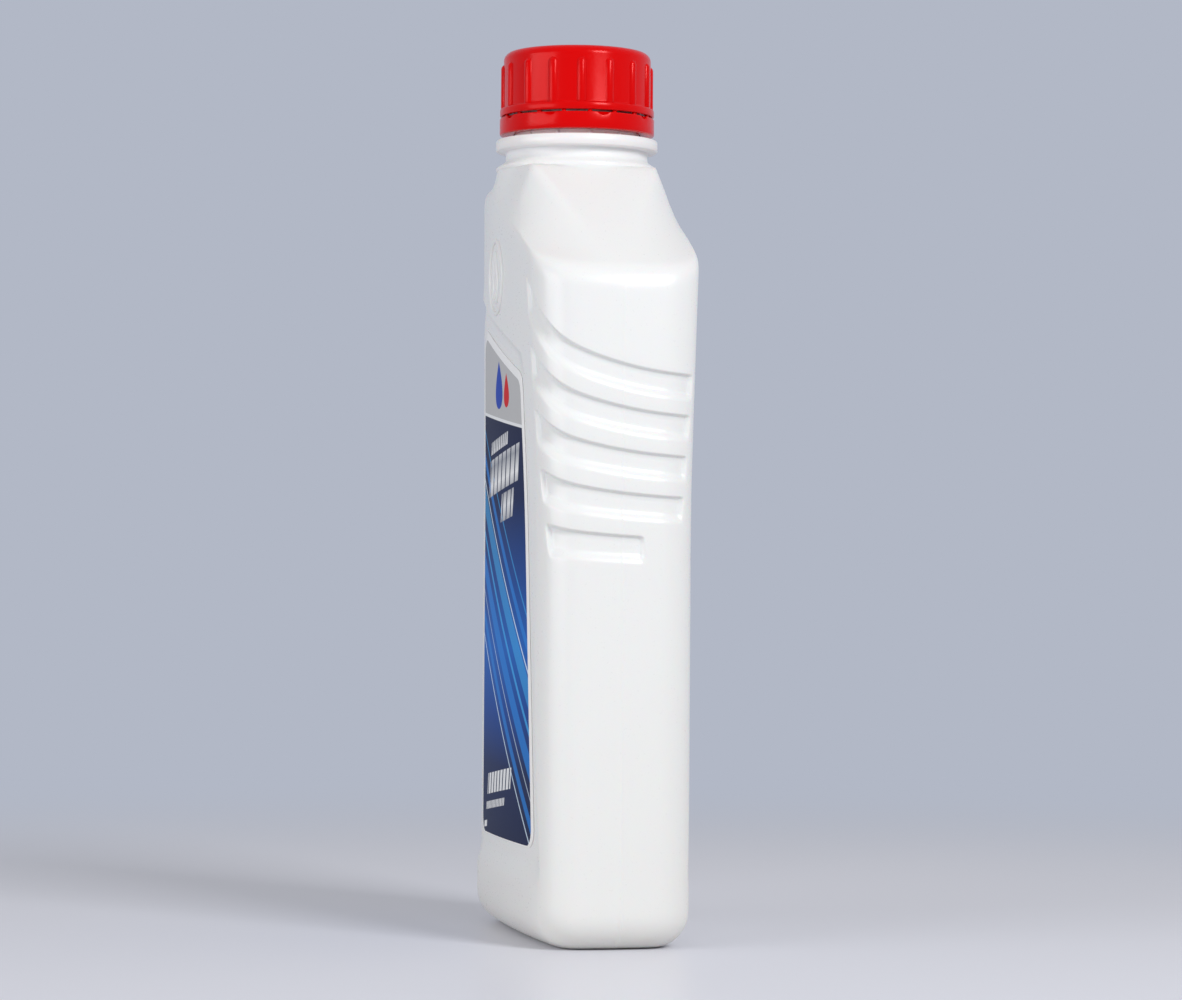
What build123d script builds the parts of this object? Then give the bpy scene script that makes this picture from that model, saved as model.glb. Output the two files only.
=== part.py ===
from build123d import *
import math
import os

# Blow-moulded oil bottle with a slanted shoulder, finger recesses on its narrow near side (+X),
# recessed panels on both faces and an off-centre neck with a tamper-evident screw cap.
# Millimetres. The origin is on the floor under the middle of the body, +Z up, the label faces -Y.

# Body
body_width = 106.0
body_depth = 47.0
face_crown_radius = 600.0
side_crown_radius = 90.0
corner_radius = 13.0
base_edge_radius = 9.0
wall = 1.0

# Base push-up
foot_width = 4.0
foot_corner_radius = 5.0
push_up_height = 2.5
push_up_chamfer = 1.5

# Flare of the near side: each face turns outward by this angle from mid height to the near shoulder
flare_angle = 1.13
flare_bottom_height = 125.0

# Shoulder: a slanted plane across the body, blended to a round neck root
neck_to_far_side = 43.0
shoulder_below_root = 12.2
shoulder_slope = 0.36
shoulder_edge_radius = 3.0
near_strip_angle = 37.0
far_strip_angle = 140.0
corner_strip_angle = 14.0
far_top_drop = 3.0
far_top_radius = 11.0

# Neck and collar, heights above the floor and radii of the outside
neck_root_height = 221.0
collar_radius = 23.3
collar_height = 1.3
collar_chamfer_height = 1.9
neck_radius = 20.7
neck_wall = 1.6
ring_radius = 23.6
ring_above_root = 5.8
ring_thickness = 3.3
finish_radius = 18.2
finish_wall = 1.8
bore_taper_height = 3.0
lug_count = 12
lug_radius = 0.6
lug_height = 1.3

# Tamper-evident band, held under a bead on the neck
band_gap_above_ring = 1.6
band_height = 4.8
band_radius = 22.57
band_wall = 2.2
band_ledge_height = 1.6
band_clearance = 0.35
bead_height = 1.4
bead_stand_out = 1.4
notch_count = 9
notch_radius = 2.2
notch_depth = 0.9
notch_start_angle = 7.6
bridge_width = 1.2
bridge_depth = 1.0
bridge_clearance = 0.1
slit = 0.6

# Screw cap
cap_height = 18.8
cap_radius = 21.5
cap_wall = 1.75
cap_top_wall = 1.6
cap_top_rounding = 2.5
cap_flange_radius = 22.5
cap_flange_height = 2.2
rib_count = 16
rib_radius = 1.25
rib_stand_out = 0.85
rib_top_margin = 4.2
rib_start_angle = -9.0

# Liner
liner_thickness = 1.5
liner_clearance = 0.6
seal_gap = 0.1

# Depth of the recessed panels and of the finger recesses
recess_depth = 1.2

# Recessed panels and the label
panel_below_shoulder = 31.9
panel_top_slope = 0.285
panel_near_margin_top = 22.5
panel_near_margin_bottom = 8.0
panel_far_margin = 10.0
panel_bottom_height = 20.5
panel_corner_radius = 9.0
label_margin = 6.8
label_corner_radius = 5.0
label_thickness = 0.2
label_clearance = 0.05

# Finger recesses, heights taken on the middle of the near side
grip_count = 5
grip_below_corner = 24.9
grip_pitch = 11.9
grip_height = 6.9
grip_level_drop = 63.0
grip_sweep = 9.2e-5
grip_lift = 0.0115
grip_lowest_side = 22.0
grip_reach_front = 14.5
grip_reach_back = 8.5
grip_end_rise = 22.3
grip_end_slope_front = 0.122
grip_end_slope_back = 0.075
grip_last_end = 6.5

near_x = body_width / 2
neck_x = neck_to_far_side - near_x
shoulder_height = neck_root_height - shoulder_below_root
near_corner_height = shoulder_height - shoulder_slope * (near_x - neck_x)
grip_top_height = near_corner_height - grip_below_corner
ring_underside_height = neck_root_height + ring_above_root
ring_top = ring_underside_height + ring_thickness
band_bottom = ring_top + band_gap_above_ring
band_top = band_bottom + band_height
bead_bottom = band_bottom + band_ledge_height + band_clearance
bead_radius = finish_radius + bead_stand_out
cap_bottom = band_top + slit
cap_top = cap_bottom + cap_height
cap_inner_radius = cap_radius - cap_wall
liner_top = cap_top - cap_top_wall
liner_bottom = liner_top - liner_thickness
lip_height = liner_bottom - seal_gap
bridge_count = 2 * notch_count
shoulder_tilt = math.atan(shoulder_slope)
over = 5.0


def body_plan(inset, flare=0.0):
    """Body seen from above, drawn in by an even inset, its faces turned apart toward the near side."""
    face_shift = face_crown_radius - body_depth / 2
    side_shift = side_crown_radius - near_x
    hinge = Pos(-near_x, 0)
    face = Pos(near_x, face_shift) * Circle(face_crown_radius - inset)
    back = Pos(near_x, -face_shift) * Circle(face_crown_radius - inset)
    plan = (hinge * Rot(0, 0, -flare) * face) & (hinge * Rot(0, 0, flare) * back)
    plan &= Pos(-side_shift, 0) * Circle(side_crown_radius - inset)
    plan &= Pos(side_shift, 0) * Circle(side_crown_radius - inset)
    return fillet(plan.vertices(), max(corner_radius - inset, foot_corner_radius))


def body_wall(inset):
    """Body without its shoulder: straight below, flaring from mid height up."""
    straight = extrude(Pos(0, 0, inset) * body_plan(inset), flare_bottom_height - inset)
    top = neck_root_height + near_x
    full_flare = flare_angle * (top - flare_bottom_height) / (near_corner_height - flare_bottom_height)
    flared = Pos(0, 0, top) * body_plan(inset, full_flare)
    return straight + loft([Pos(0, 0, flare_bottom_height) * body_plan(inset), flared], ruled=True)


def body_below_shoulder(inset, drop):
    """Body cut off by the slanted shoulder plane, lowered along its normal by drop."""
    height = shoulder_height + shoulder_slope * neck_x - drop / math.cos(shoulder_tilt)
    plane = Plane((0, 0, height), x_dir=(1, 0, -shoulder_slope), z_dir=(shoulder_slope, 0, 1))
    return split(body_wall(inset), bisect_by=plane, keep=Keep.BOTTOM)


def neck_root(inset):
    """Circle where the shoulder meets the neck, in eight arcs to match the eight edges of the body."""
    radius = collar_radius - inset

    def point(angle):
        turn = math.radians(angle)
        return (neck_x + radius * math.cos(turn), radius * math.sin(turn), neck_root_height - inset)

    back = [near_strip_angle, near_strip_angle + corner_strip_angle]
    back += [far_strip_angle - corner_strip_angle, far_strip_angle]
    stops = [-angle for angle in reversed(back)] + back
    ends = stops[1:] + [stops[0] + 360]
    return Wire([ThreePointArc(point(a), point((a + b) / 2), point(b)) for a, b in zip(stops, ends)])


def far_corner(inset):
    """Waste above the rounded top corner on the far side."""
    far = -near_x - 0.5 + inset
    start = neck_x - collar_radius + inset - 0.3
    top = neck_root_height - inset
    kept = make_face(Polyline((far, 0), (start, 0), (start, top), (far, top - far_top_drop), close=True))
    kept = fillet(kept.vertices().sort_by(Axis.X)[:2].sort_by(Axis.Y)[-1], far_top_radius)
    low = top - 3 * far_top_radius
    block = Polyline((far - over, low), (start, low), (start, top + 3 * over), (far - over, top + 3 * over), close=True)
    return extrude(Plane.XZ * (make_face(block) - kept), body_depth, both=True)


def smooth_body(inset):
    """Body and shoulder without their recesses."""
    body = body_below_shoulder(inset, inset + shoulder_edge_radius)
    body = fillet(body.faces().sort_by(Axis.Z)[0].edges(), base_edge_radius - inset)
    sections = []
    for turn in (0, math.radians(45)):
        drop = shoulder_edge_radius * (1 - math.sin(turn))
        draw_in = shoulder_edge_radius * (1 - math.cos(turn)) / 3
        cut = body_below_shoulder(inset + draw_in, inset + drop)
        sections.append(cut.faces().sort_by(Axis.Z)[-1].outer_wire())
    body += Solid.make_loft(sections + [neck_root(inset)], ruled=True)
    return body - far_corner(inset)


def grip_edge(height, x, y):
    """Height of a finger recess's edge at a place on the skin: it climbs toward the front corner."""
    climb = height - grip_top_height + grip_level_drop
    sweep = grip_sweep * climb * ((grip_lowest_side - y) ** 2 - grip_lowest_side ** 2)
    lift = grip_lift * climb * (min(y, 0) / grip_lowest_side) ** 2
    return height + sweep - lift * (x - near_x)


def finger_slab(index, grow):
    """Curved slab whose meeting with the skin gives one finger recess."""
    top = grip_top_height - index * grip_pitch + grow
    bottom = top - grip_height - 2 * grow
    inner, outer = near_x - grip_reach_front - 2 * over, near_x + over
    sections = []
    for step in (-1.1, -0.55, 0, 0.55, 1.1):
        y = step * body_depth / 2
        corners = [(x, y, grip_edge(height, x, y)) for x, height in
                   ((inner, bottom), (outer, bottom), (outer, top), (inner, top))]
        sections.append(Wire.make_polygon(corners, close=True))
    return Solid.make_loft(sections)


def grip_region(grow):
    """Space between the recesses' ends, which slant toward the near side further down."""
    high = grip_top_height + 2 * grip_end_rise
    low = grip_top_height - grip_count * grip_pitch - grip_end_rise
    sections = []
    for y, reach, slope in ((-1.2, grip_reach_front, grip_end_slope_front), (1.2, grip_reach_back, grip_end_slope_back)):
        ends = []
        for height in (low, high):
            x = near_x - reach - grow + slope * (grip_top_height + grip_end_rise - height)
            ends.append((x, y * body_depth / 2, height))
        outer = [(near_x + over, y * body_depth / 2, height) for height in (high, low)]
        sections.append(Wire.make_polygon(ends + outer, close=True))
    return Solid.make_loft(sections, ruled=True)


def finger_recesses(grow):
    """The recesses in order from the top. The lowest one stops short of the back corner."""
    recesses = [finger_slab(index, grow) & grip_region(grow) for index in range(grip_count)]
    limit = Plane.XZ.offset(-grip_last_end - grow)
    recesses[-1] = split(recesses[-1], bisect_by=limit, keep=Keep.TOP)
    return recesses


def panel_outline(margin, radius):
    """Recessed panel seen from the front, drawn in by a margin."""
    near_top, near_bottom = near_x - panel_near_margin_top, near_x - panel_near_margin_bottom
    far = panel_far_margin - near_x
    top = shoulder_height - panel_below_shoulder
    corners = [(far, panel_bottom_height), (near_bottom, panel_bottom_height)]
    corners += [(x, top - panel_top_slope * (x - neck_x)) for x in (near_top, far)]
    outline = make_face(Polyline(*corners, close=True))
    if margin:
        outline = offset(outline, -margin, kind=Kind.INTERSECTION)
    return Plane.XZ * fillet(outline.vertices(), radius)


def push_up(grow):
    """Hollow raised into the base, so that the bottle stands on a foot around it."""
    plan = body_plan(base_edge_radius + foot_width - grow)
    hollow = extrude(plan, push_up_height + grow)
    return chamfer(hollow.faces().sort_by(Axis.Z)[-1].edges(), push_up_chamfer)


def bottle_form(inset):
    """Outside of the bottle below its neck, or its inside when drawn in by the wall."""
    smooth = smooth_body(inset)
    panels = extrude(panel_outline(-inset, panel_corner_radius), body_depth, both=True)
    core = smooth_body(inset + recess_depth)
    recesses = [recess - core for recess in [panels] + finger_recesses(inset)]
    return smooth.cut(*recesses, push_up(inset))


def turned(*points):
    """Solid of revolution about the neck axis from radius and height pairs."""
    profile = Plane.XZ * make_face(Polyline(*points, close=True))
    return Pos(neck_x, 0, 0) * revolve(profile, Axis.Z)


def around_neck(shape, count, start):
    """Copies of a shape spaced evenly around the neck axis."""
    return [Pos(neck_x, 0, 0) * Rot(0, 0, start + i * 360 / count) * shape for i in range(count)]


def neck():
    """Neck finish with its collar, support ring, bead and ratchet lugs, not yet bored."""
    collar_top = neck_root_height + collar_height
    body = turned((0, neck_root_height), (collar_radius, neck_root_height), (collar_radius, collar_top),
                  (neck_radius, collar_top + collar_chamfer_height), (neck_radius, ring_underside_height),
                  (ring_radius, ring_underside_height), (ring_radius, ring_top), (finish_radius, ring_top),
                  (finish_radius, bead_bottom), (bead_radius, bead_bottom),
                  (finish_radius, bead_bottom + bead_height), (finish_radius, lip_height), (0, lip_height))
    lug = Pos(finish_radius, 0, ring_top) * Cylinder(lug_radius, 2 * lug_height)
    for copy in around_neck(lug, lug_count, 0):
        body += copy
    return body


def bore():
    """Inside of the neck, from the shoulder to the lip."""
    root = neck_root_height - wall
    bend = root + collar_height
    step = bend + collar_chamfer_height
    inner = neck_radius - neck_wall
    bore_radius = finish_radius - finish_wall
    taper_end = ring_underside_height + bore_taper_height
    return turned((0, root), (collar_radius - wall, root), (collar_radius - wall, bend), (inner, step),
                  (inner, ring_underside_height), (bore_radius, taper_end), (bore_radius, lip_height),
                  (0, lip_height))


def bottle():
    outside = bottle_form(0) + neck()
    inside = bottle_form(wall) + bore()
    return outside - inside


def front_label():
    """Printed film lying on the floor of the front panel."""
    seat = recess_depth - label_clearance
    outline = extrude(panel_outline(label_margin, label_corner_radius), body_depth)
    return outline & (smooth_body(seat - label_thickness) - smooth_body(seat))


def tamper_band():
    """Ring left on the neck, with its ledge under the bead, its notches and broken-off bridges."""
    inner = band_radius - band_wall
    ledge_radius = finish_radius + band_clearance
    ledge_top = band_bottom + band_ledge_height
    band = turned((ledge_radius, band_bottom), (band_radius, band_bottom), (band_radius, band_top),
                  (inner, band_top), (inner, ledge_top), (ledge_radius, ledge_top))
    notch = Pos(band_radius, 0, band_top + notch_radius - notch_depth) * Rot(0, 90, 0)
    notch *= Cylinder(notch_radius, 3 * band_wall)
    for copy in around_neck(notch, notch_count, notch_start_angle):
        band -= copy
    bridge_height = slit - bridge_clearance
    bridge = Box(bridge_depth, bridge_width, 2 * bridge_height)
    bridge = Pos(band_radius - band_wall / 2, 0, band_top) * bridge
    for copy in around_neck(bridge, bridge_count, notch_start_angle + 180 / bridge_count):
        band += copy
    return band


def screw_cap():
    """Hollow cap with a flange below and upright grip ribs around it."""
    flange_top = cap_bottom + cap_flange_height
    shell = turned((0, cap_bottom), (cap_flange_radius, cap_bottom), (cap_flange_radius, flange_top),
                   (cap_radius, flange_top), (cap_radius, cap_top), (0, cap_top))
    shell = fillet(shell.edges().filter_by(GeomType.CIRCLE).group_by(Axis.Z)[-1], cap_top_rounding)
    rib_bottom = cap_bottom + cap_flange_height / 2
    rib_length = cap_top - rib_top_margin - rib_bottom
    rib_reach = cap_radius + rib_stand_out - rib_radius
    rib = Pos(rib_reach, 0, rib_bottom + rib_length / 2) * Cylinder(rib_radius, rib_length)
    for copy in around_neck(rib, rib_count, rib_start_angle):
        shell += copy
    hollow = turned((0, cap_bottom), (cap_inner_radius, cap_bottom), (cap_inner_radius, liner_top), (0, liner_top))
    return shell - hollow


def cap_liner():
    radius = cap_inner_radius - liner_clearance
    return turned((0, liner_bottom), (radius, liner_bottom), (radius, liner_top), (0, liner_top))


os.makedirs("parts", exist_ok=True)
export_step(bottle(), "parts/bottle.step")
export_step(front_label(), "parts/front_label.step")
export_step(tamper_band(), "parts/tamper_band.step")
export_step(screw_cap(), "parts/screw_cap.step")
export_step(cap_liner(), "parts/cap_liner.step")
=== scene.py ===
import math

import bmesh
import bpy
import numpy as np
from mathutils import Matrix, Vector


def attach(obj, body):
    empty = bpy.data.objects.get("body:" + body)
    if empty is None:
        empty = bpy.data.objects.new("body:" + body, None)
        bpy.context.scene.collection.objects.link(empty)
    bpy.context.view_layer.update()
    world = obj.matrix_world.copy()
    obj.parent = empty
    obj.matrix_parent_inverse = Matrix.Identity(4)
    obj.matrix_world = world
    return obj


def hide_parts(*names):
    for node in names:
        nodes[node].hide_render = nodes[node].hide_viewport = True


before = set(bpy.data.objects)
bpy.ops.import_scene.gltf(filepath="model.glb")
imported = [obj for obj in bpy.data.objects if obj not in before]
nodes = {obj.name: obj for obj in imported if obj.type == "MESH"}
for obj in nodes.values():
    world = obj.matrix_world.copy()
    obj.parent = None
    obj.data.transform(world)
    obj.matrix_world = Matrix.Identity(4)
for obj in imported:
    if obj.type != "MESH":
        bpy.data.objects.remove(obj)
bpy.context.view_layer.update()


# The studio: a camera a metre off the narrow near side, at half the bottle's height, a pale floor
# that fades into a blue-grey backdrop, a soft key lamp from the camera's right and above, and a
# weaker fill lamp from its left.
scene = bpy.context.scene
scene.view_settings.view_transform = "Standard"

camera_place = Vector((1.0448, -0.2319, 0.105))
camera_aim = Vector((-0.0098, 0.0049, 0.1254))
camera_roll = 0.0065
camera_data = bpy.data.cameras.new("camera")
camera_data.lens = 112.69
camera_data.sensor_width = 36.0
camera = bpy.data.objects.new("camera", camera_data)
facing = (camera_aim - camera_place).to_track_quat("-Z", "Y").to_matrix().to_4x4()
camera.matrix_world = Matrix.Translation(camera_place) @ facing @ Matrix.Rotation(camera_roll, 4, "Z")
scene.collection.objects.link(camera)
scene.camera = camera


def add_lamp(name, place, target, size, watts):
    """A rectangular lamp at a place, turned to face a target."""
    data = bpy.data.lights.new(name, "AREA")
    data.shape = "RECTANGLE"
    data.size, data.size_y = size
    data.energy = watts
    lamp = bpy.data.objects.new(name, data)
    turn = (Vector(target) - Vector(place)).to_track_quat("-Z", "Y").to_matrix().to_4x4()
    lamp.matrix_world = Matrix.Translation(place) @ turn
    scene.collection.objects.link(lamp)


add_lamp("key", place=(0.95, 0.45, 0.74), target=(0.0, 0.0, 0.12), size=(0.4, 0.4), watts=8.5)
add_lamp("fill", place=(0.45, -1.08, 0.34), target=(0.0, 0.0, 0.10), size=(0.9, 0.5), watts=5.0)


def add_node(tree, kind, inputs=(), **settings):
    """A new shader node with its settings, its inputs set to values or linked from sockets."""
    node = tree.nodes.new("ShaderNode" + kind)
    for name, value in settings.items():
        setattr(node, name, value)
    for name, value in dict(inputs).items():
        if isinstance(value, bpy.types.NodeSocket):
            tree.links.new(value, node.inputs[name])
        else:
            node.inputs[name].default_value = value
    return node


def seen_color(tree, seen, unseen):
    """A colour that the camera, a mirror or a glass sees, and another that lights the object."""
    rays = add_node(tree, "LightPath").outputs
    watched = rays["Is Camera Ray"]
    for kind in ("Is Glossy Ray", "Is Transmission Ray"):
        watched = add_node(tree, "Math", {0: watched, 1: rays[kind]}, operation="MAXIMUM").outputs[0]
    tint = add_node(tree, "Mix", {"Factor": watched, "A": unseen, "B": seen}, data_type="RGBA")
    return tint.outputs["Result"]


backdrop_color, sky_color = (0.445, 0.479, 0.565, 1), (0.44, 0.43, 0.42, 1)
floor_color, floor_bounce = (0.78, 0.79, 0.86), (0.66, 0.655, 0.655)
floor_reach, fade_start, fade_end = 6.0, 0.12, 0.8

world = bpy.data.worlds.new("studio")
world.use_nodes = True
scene.world = world
sky = world.node_tree
sky.links.new(seen_color(sky, backdrop_color, sky_color), sky.nodes["Background"].inputs["Color"])

floor_corners = [(x * floor_reach, y * floor_reach, 0) for x, y in ((-1, -1), (1, -1), (1, 1), (-1, 1))]
floor_mesh = bpy.data.meshes.new("floor")
floor_mesh.from_pydata(floor_corners, [], [(0, 1, 2, 3)])
floor = bpy.data.objects.new("floor", floor_mesh)
scene.collection.objects.link(floor)


def add_material(name, color, roughness, **sockets):
    """A new material with its Principled shader, and the values of the sockets named."""
    made = bpy.data.materials.new(name)
    made.use_nodes = True
    shader = made.node_tree.nodes["Principled BSDF"]
    shader.inputs["Base Color"].default_value = (*color, 1)
    shader.inputs["Roughness"].default_value = roughness
    for socket, value in sockets.items():
        shader.inputs[socket.replace("_", " ")].default_value = value
    return made, made.node_tree, shader


floor_finish, tree, shader = add_material("pale floor", floor_color, 0.35, Specular_IOR_Level=0.15)
tree.links.new(seen_color(tree, (*floor_color, 1), (*floor_bounce, 1)), shader.inputs["Base Color"])
place = add_node(tree, "TexCoord")
distance = add_node(tree, "VectorMath", {0: place.outputs["Object"]}, operation="LENGTH")
fade = add_node(tree, "MapRange", {"Value": distance.outputs["Value"], "From Min": fade_start,
                                   "From Max": fade_end}, interpolation_type="SMOOTHERSTEP")
glow = add_node(tree, "Emission", {"Color": backdrop_color, "Strength": 1.0}).outputs[0]
blend = add_node(tree, "MixShader", {0: fade.outputs["Result"], 1: shader.outputs["BSDF"], 2: glow})
tree.links.new(blend.outputs[0], tree.nodes["Material Output"].inputs["Surface"])
floor_mesh.materials.append(floor_finish)


# The bottle: one blow-moulded piece of white polyethylene, 1 mm thick. Its skin is a net of rings
# and uprights laid along the mould's own lines, so that the panels and the finger recesses get soft
# edges. A thread, a ratchet of small lugs and the mould's seam stand out from it.
mm = 0.001
hands = {"front": 1, "back": -1}
half_width, half_depth, neck_x = 53.0, 23.5, -10.0
face_radius, side_radius, corner_radius = 600.0, 90.0, 13.0
flare_angle, flare_start, flare_end, flare_blend = math.radians(1.13), 125.0, 186.1, 15.0
draw_in, draw_start, draw_end, draw_from, draw_run = 1.2, 174.0, 192.0, -12.0, 30.0
wall, recess_depth = 1.0, 1.2
seam_height, base_seam_height, seam_width = 0.08, 0.25, 0.35


def smooth_step(value):
    t = np.clip(value, 0, 1)
    return t * t * (3 - 2 * t)


def circles_meet(centre_a, radius_a, centre_b, radius_b):
    """The point where two circles in the plan meet on the bottle's front side."""
    gap = np.subtract(centre_b, centre_a)
    distance = np.hypot(*gap)
    along = (distance ** 2 + radius_a ** 2 - radius_b ** 2) / (2 * distance)
    off = math.sqrt(radius_a ** 2 - along ** 2)
    middle = np.asarray(centre_a) + along * gap / distance
    sideways = np.array([-gap[1], gap[0]]) / distance
    return min((middle + off * sideways, middle - off * sideways), key=lambda point: point[1])


def half_plan(turn, arc_samples=320):
    """Half the plan from the middle of the near side round the front, its face turned about the far side.

    Five arcs make it: near side, corner, face, corner and far side. The bends are the shares of the
    way round at which one arc passes into the next.
    """
    centre_y = face_radius - half_depth
    face = (-half_width + half_width * math.cos(turn) + centre_y * math.sin(turn),
            centre_y * math.cos(turn) - half_width * math.sin(turn))
    near, far = (half_width - side_radius, 0.0), (side_radius - half_width, 0.0)
    inner_face, inner_side = face_radius - corner_radius, side_radius - corner_radius
    corners = [circles_meet(face, inner_face, side, inner_side) for side in (near, far)]
    stops = [math.atan2(*(corners[0] - near)[::-1]), math.atan2(*(corners[0] - face)[::-1]),
             math.atan2(*(corners[1] - face)[::-1]), math.atan2(*(corners[1] - far)[::-1])]
    normal = np.concatenate([np.linspace(a, b, arc_samples, endpoint=False) for a, b in
                             zip([0.0] + stops, stops + [-math.pi])] + [[-math.pi]])
    arc = np.searchsorted(-np.array(stops), -normal, side="right")
    centres = np.array([near, corners[0], face, corners[1], far])[arc]
    radii = np.array([side_radius, corner_radius, face_radius, corner_radius, side_radius])[arc]
    x, y = centres[:, 0] + radii * np.cos(normal), centres[:, 1] + radii * np.sin(normal)
    length = np.concatenate([[0], np.cumsum(np.hypot(np.diff(x), np.diff(y)))])
    share = length / length[-1]
    bends = np.interp(-np.array(stops), -normal, share)
    return {"share": share, "x": x, "y": y, "normal": normal, "length": length[-1], "bends": bends}


plain_plan, flared_plan = half_plan(0.0), half_plan(flare_angle)
half_length = plain_plan["length"]
mm_share = 1 / half_length


def flare_share(z):
    """Share of the near side's flare at a height: none below, easing into an even slope."""
    rise = z - flare_start
    eased = np.where(rise > flare_blend, rise, np.clip(rise + flare_blend, 0, None) ** 2 / (4 * flare_blend))
    return eased / (flare_end - flare_start)


def plan(share, z):
    """Places and outward angles of the skin at shares of the way round half the bottle, at heights z."""
    flare = flare_share(z)
    plain, flared = ([np.interp(share, outline["share"], outline[key]) for key in ("x", "y", "normal")]
                     for outline in (plain_plan, flared_plan))
    x, y, normal = [a + flare * (b - a) for a, b in zip(plain, flared)]
    # the top of the far part is drawn in a little
    drawn = smooth_step((z - draw_start) / (draw_end - draw_start)) * smooth_step((draw_from - x) / draw_run)
    return x, y * (1 - draw_in / half_depth * drawn), normal


# The finger recesses sweep up toward the front corner. Further down, their ends lean to the near side.
grip_count, grip_top, grip_pitch, grip_height = 5, 162.5, 11.9, 8.2
grip_level, grip_sweep, grip_lift, grip_lowest = 98.22, 9.2e-5, 0.0115, 22.0
grip_ends, grip_end_height, grip_end_turn, grip_last_end = ((34.8, 0.155), (45.3, 0.075)), 183.52, 28.2, 6.5
grip_ramp, grip_lip, grip_end_width, grip_lip_rounding, grip_ramp_rounding = 3.2, 1.0, 1.2, 1.6, 2.56


def grip_line(height, x, y):
    """Height on the skin of a line that crosses the middle of the near side at a height."""
    climb = np.clip(height - grip_level, 0, None)
    sweep = grip_sweep * climb * ((grip_lowest - y) ** 2 - grip_lowest ** 2)
    return height + sweep - grip_lift * climb * (np.minimum(y, 0) / grip_lowest) ** 2 * (x - half_width)


def grip_end_x(y, z):
    """How far the recesses reach round the front and back corners, as x."""
    front_end, back_end = (reach + slope * (grip_end_height - z) for reach, slope in grip_ends)
    across = np.clip((y / grip_end_turn + 1) / 2, 0, 1)
    return front_end + (back_end - front_end) * across


def rounded_depth(across, along, rounding):
    """Signed distance into a shape with a round corner, from the distances to its two nearest edges."""
    a, b = np.maximum(rounding - across, 0), np.maximum(rounding - along, 0)
    return np.where((a > 0) & (b > 0), rounding - np.hypot(a, b), np.minimum(across, along))


def grip_mask(row, y, share, end_share):
    """Depth share of the finger recesses at places on the skin."""
    inward = (end_share - share) * half_length
    mask = np.zeros_like(share)
    for index in range(grip_count):
        top = grip_top - index * grip_pitch
        ends = np.minimum(inward, grip_last_end - y) if index == grip_count - 1 else inward
        above, below = top - row, row - (top - grip_height)
        lip = rounded_depth(ends * grip_lip / grip_end_width, above, grip_lip_rounding) / grip_lip
        ramp = rounded_depth(ends * grip_ramp / grip_end_width, below, grip_ramp_rounding) / grip_ramp
        mask = np.maximum(mask, smooth_step(lip) * smooth_step(ramp))
    return mask


# The panels: the same outline on both faces, with a wide soft ramp along its lower edge.
panel_far, panel_near_low, panel_near_high, panel_side_height = -49.0, 45.0, 30.5, 144.5
panel_low, panel_top_at_neck, panel_slope = 20.5, 176.9, 0.285
panel_rounding, panel_ramp, panel_low_ramp, panel_low_lead = 9.0, 1.8, 7.0, 3.0


def panel_top(x):
    """Height of the panel's slanted upper edge."""
    return panel_top_at_neck - panel_slope * (x - neck_x)


def panel_near(z):
    """How far the panel reaches toward the near side, as x."""
    top = panel_top(panel_near_high)
    return panel_near_low + (panel_near_high - panel_near_low) * (z - panel_low) / (top - panel_low)


def panel_mask(x, z):
    """Depth share of the panel at places on the skin."""
    lean = math.atan((panel_near_low - panel_near_high) / panel_side_height)
    near = (panel_near(z) - x) * math.cos(lean)
    top = (panel_top(x) - z) / math.hypot(1, panel_slope)
    sides, low = np.minimum(near, x - panel_far), z - panel_low + panel_low_lead
    upper = smooth_step(rounded_depth(sides, top, panel_rounding) / panel_ramp)
    slow_sides = sides * panel_low_ramp / panel_ramp
    lower = smooth_step(rounded_depth(slow_sides, low, panel_rounding) / panel_low_ramp)
    return upper * lower


# The shoulder slants down from the neck's root to the near side, with a soft ridge along each face.
root_height, root_radius, ridge_run_least = 221.0, 23.2, 0.5
ridge_x, ridge_y, ridge_softness = (-10.0, 13.3, 53.0), (-23.3, -18.1, -1.6), 0.35
edge_heights, edge_slopes, edge_bend, edge_least = (207.5, 211.4), (0.21, 0.45), 1.9, 3.0
edge_near_more, edge_near_start, edge_near_run = 2.0, 35.0, 15.0
edge_far_more, edge_far_start, edge_far_run = 1.5, -38.0, 12.0


def soft_least(softness, *values):
    """The least of some values, with a rounded change from one to the next."""
    return -softness * np.log(sum(np.exp((values[0] - value) / softness) for value in values)) + values[0]


def shoulder_height(x, y):
    """Height of the slanted shoulder: an even slope over the near side and a twisted one over the face."""
    edge = soft_least(edge_bend, *(height - slope * x for height, slope in zip(edge_heights, edge_slopes)))
    near_edge = edge_heights[1] - edge_slopes[1] * half_width
    near_root = neck_x + root_radius
    even = root_height - (root_height - near_edge) * (x - near_root) / (half_width - near_root)
    face = -half_depth + x ** 2 / (2 * face_radius) - flare_share(edge) * flare_angle * (half_width + x)
    neck_side = -np.sqrt(np.clip(root_radius ** 2 - (x - neck_x) ** 2, 0, None))
    ridge = np.minimum(np.interp(x, ridge_x, ridge_y), np.where(x < ridge_x[1], neck_side, 0))
    climb = np.clip((y - face) / np.maximum(ridge - face, ridge_run_least), 0, None)
    twisted = edge + (np.minimum(even, root_height) - edge) * np.where(x > neck_x, climb, 0)
    return np.where(x > neck_x, soft_least(ridge_softness, even, twisted, root_height + 0 * x), edge)


def edge_reach(x):
    """Size of the rounding along the shoulder's edge, wide on the near and the far side."""
    near_more = edge_near_more * smooth_step((x - edge_near_start) / edge_near_run)
    far_more = edge_far_more * smooth_step((edge_far_start - x) / edge_far_run)
    return edge_least + near_more + far_more


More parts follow.
